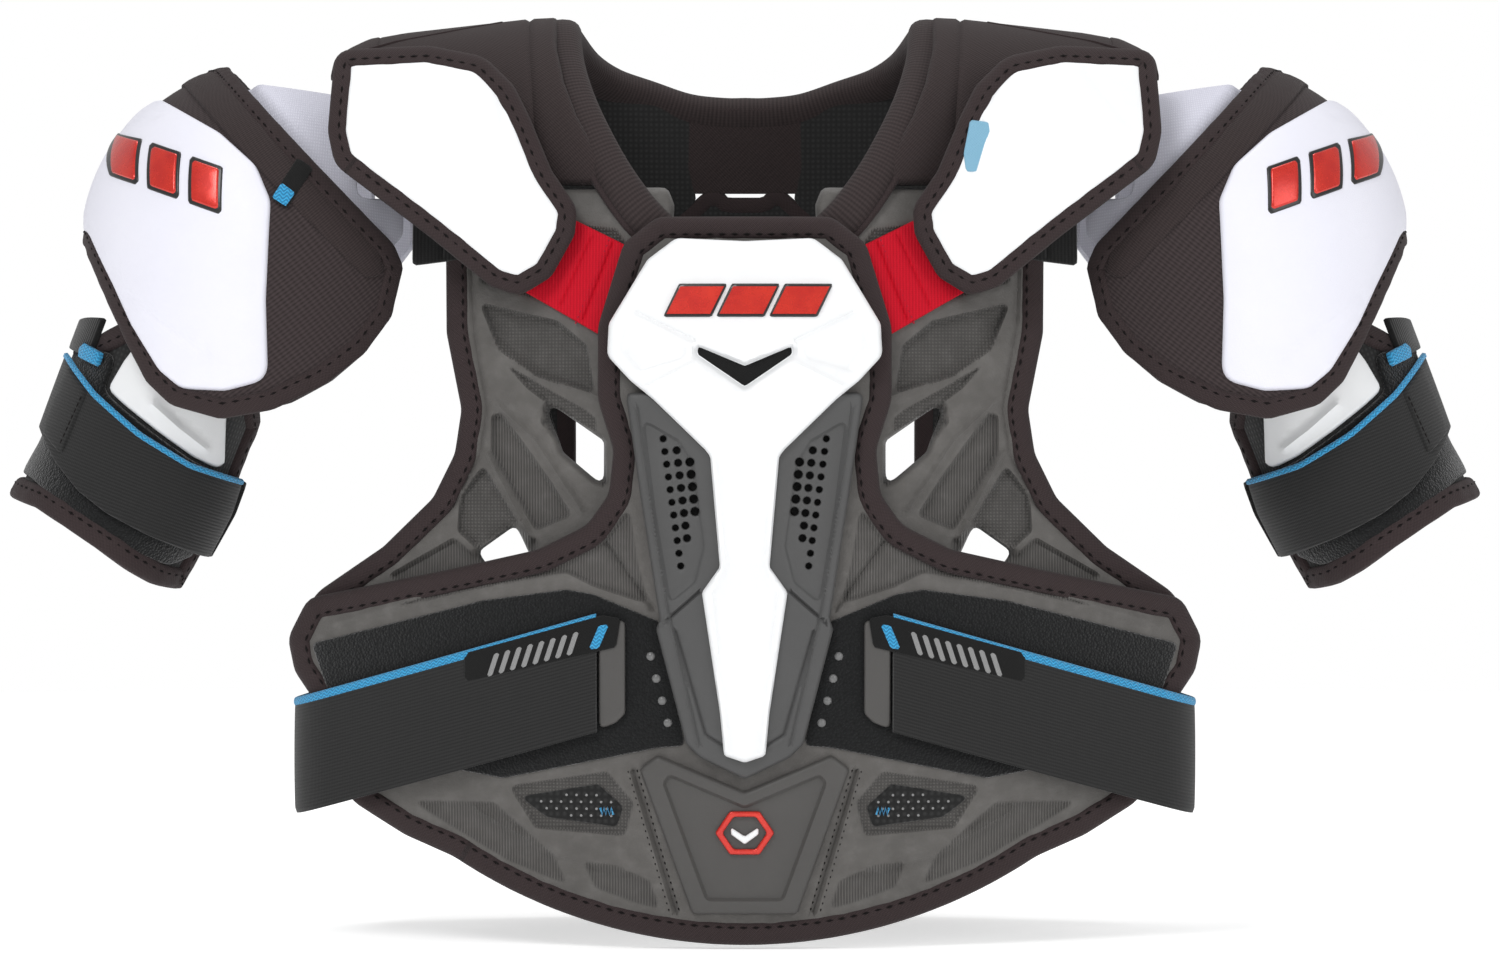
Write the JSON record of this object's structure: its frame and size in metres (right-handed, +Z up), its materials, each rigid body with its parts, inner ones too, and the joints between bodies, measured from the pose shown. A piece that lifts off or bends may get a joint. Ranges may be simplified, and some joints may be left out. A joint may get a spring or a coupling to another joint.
{
  "type": "ice hockey shoulder pads",
  "caption": "Hockey shoulder pads: foam vest with white chest, clavicle and shoulder guards that float, biceps guards on short sleeves, and elastic straps round the body and arms.",
  "frame": {"origin": "midway between the two shoulder arches, near the height at which they rest on the shoulders", "axes": "+Z up, +X to the wearer's left, +Y to the wearer's back"},
  "size_m": [0.664, 0.2359, 0.415],
  "materials": {
    "moulded_foam": "foam moulded under a fine mesh knit",
    "lining": "brushed knit lining",
    "elastic_red": "woven elastic",
    "elastic_black": "ribbed woven elastic",
    "loop_fabric": "looped pile",
    "mesh": "perforated mesh",
    "binding": "ribbed binding tape",
    "bridge_white": "fine white weave",
    "gusset_twill": "heavy twill",
    "carrier_grey": "soft matte moulding",
    "belly_black": "matte moulding",
    "shell_white": "semi-gloss moulded plastic",
    "cap_white": "semi-gloss moulded plastic",
    "emblem_red": "metallic red lacquer",
    "rivet_clear": "translucent nylon"
  },
  "bodies": {
    "vest": {"sternum_liner": "lining", "centre_panel": "moulded_foam", "belly_plate": "belly_black", "loop_rivets": "rivet_clear", "neck_bridge": "moulded_foam", "spine_pad": "moulded_foam", "spine_plate": "carrier_grey", "lumbar_panel": "moulded_foam", "side_panel_left": "moulded_foam", "side_panel_right": "moulded_foam", "belly_vent_left": "mesh", "belly_vent_right": "mesh", "loop_patch_left": "loop_fabric", "loop_patch_right": "loop_fabric", "sternum_elastic_left": "elastic_red", "sternum_elastic_right": "elastic_red", "cap_tether_left": "elastic_black", "cap_tether_right": "elastic_black", "shoulder_arch_left": "moulded_foam", "shoulder_arch_right": "moulded_foam", "collar_left": "binding", "collar_right": "binding", "cap_bridge_left": "bridge_white", "cap_bridge_right": "bridge_white", "back_panel_left": "moulded_foam", "back_panel_right": "moulded_foam", "strap_anchor_left": "elastic_black", "strap_anchor_right": "elastic_black"},
    "sternum_guard": {"sternum_carrier": "carrier_grey", "sternum_backing": "lining", "sternum_cap": "shell_white", "sternum_emblem": "emblem_red"},
    "clavicle_left": {"clavicle_pad_left": "binding", "clavicle_shell_left": "shell_white"},
    "cap_left": {"cap_liner_left": "lining", "cap_shell_left": "cap_white", "cap_gusset_left": "gusset_twill"},
    "biceps_left": {"biceps_liner_left": "lining", "biceps_shell_left": "shell_white", "biceps_patch_left": "loop_fabric", "biceps_adjuster_left": "elastic_black", "biceps_band_left": "elastic_black"},
    "biceps_strap_left": {"biceps_strap_left": "elastic_black"},
    "body_strap_left": {"body_strap_left": "elastic_black", "strap_tab_left": "loop_fabric"},
    "clavicle_right": {"clavicle_pad_right": "binding", "clavicle_shell_right": "shell_white"},
    "cap_right": {"cap_liner_right": "lining", "cap_shell_right": "cap_white", "cap_gusset_right": "gusset_twill"},
    "biceps_right": {"biceps_liner_right": "lining", "biceps_shell_right": "shell_white", "biceps_patch_right": "loop_fabric", "biceps_adjuster_right": "elastic_black", "biceps_band_right": "elastic_black"},
    "biceps_strap_right": {"biceps_strap_right": "elastic_black"},
    "body_strap_right": {"body_strap_right": "elastic_black", "strap_tab_right": "loop_fabric"}
  },
  "joints": [
    {"name": "sternum_tilt", "type": "hinge", "parent": "vest", "child": "sternum_guard", "pos_m": [0, -0.104, -0.066], "axis": [-1, 0, 0], "range_deg": [0, 8]},
    {"name": "clavicle_lift_left", "type": "hinge", "parent": "vest", "child": "clavicle_left", "pos_m": [0.09, -0.088, -0.01], "axis": [0, -1, 0], "range_deg": [0, 10]},
    {"name": "cap_raise_left", "type": "hinge", "parent": "vest", "child": "cap_left", "pos_m": [0.214, 0, -0.073], "axis": [0, -1, 0], "range_deg": [-5, 35]},
    {"name": "biceps_swing_left", "type": "hinge", "parent": "cap_left", "child": "biceps_left", "pos_m": [0.214, 0, -0.073], "axis": [0, -1, 0], "range_deg": [-6, 12]},
    {"name": "biceps_strap_open_left", "type": "hinge", "parent": "biceps_left", "child": "biceps_strap_left", "pos_m": [0.2338, 0, -0.1973], "axis": [0.3584, 0, -0.9336], "range_deg": [0, 60]},
    {"name": "body_strap_open_left", "type": "hinge", "parent": "vest", "child": "body_strap_left", "pos_m": [0.172, 0.062, -0.303], "axis": [0, 0, 1], "range_deg": [0, 60]},
    {"name": "clavicle_lift_right", "type": "hinge", "parent": "vest", "child": "clavicle_right", "pos_m": [-0.09, -0.088, -0.01], "axis": [0, 1, 0], "range_deg": [0, 10]},
    {"name": "cap_raise_right", "type": "hinge", "parent": "vest", "child": "cap_right", "pos_m": [-0.214, 0, -0.073], "axis": [0, 1, 0], "range_deg": [-5, 35]},
    {"name": "biceps_swing_right", "type": "hinge", "parent": "cap_right", "child": "biceps_right", "pos_m": [-0.214, 0, -0.073], "axis": [0, 1, 0], "range_deg": [-6, 12]},
    {"name": "biceps_strap_open_right", "type": "hinge", "parent": "biceps_right", "child": "biceps_strap_right", "pos_m": [-0.2338, 0, -0.1973], "axis": [0.3584, 0, 0.9336], "range_deg": [0, 60]},
    {"name": "body_strap_open_right", "type": "hinge", "parent": "vest", "child": "body_strap_right", "pos_m": [-0.172, 0.062, -0.303], "axis": [0, 0, -1], "range_deg": [0, 60]}
  ]
}
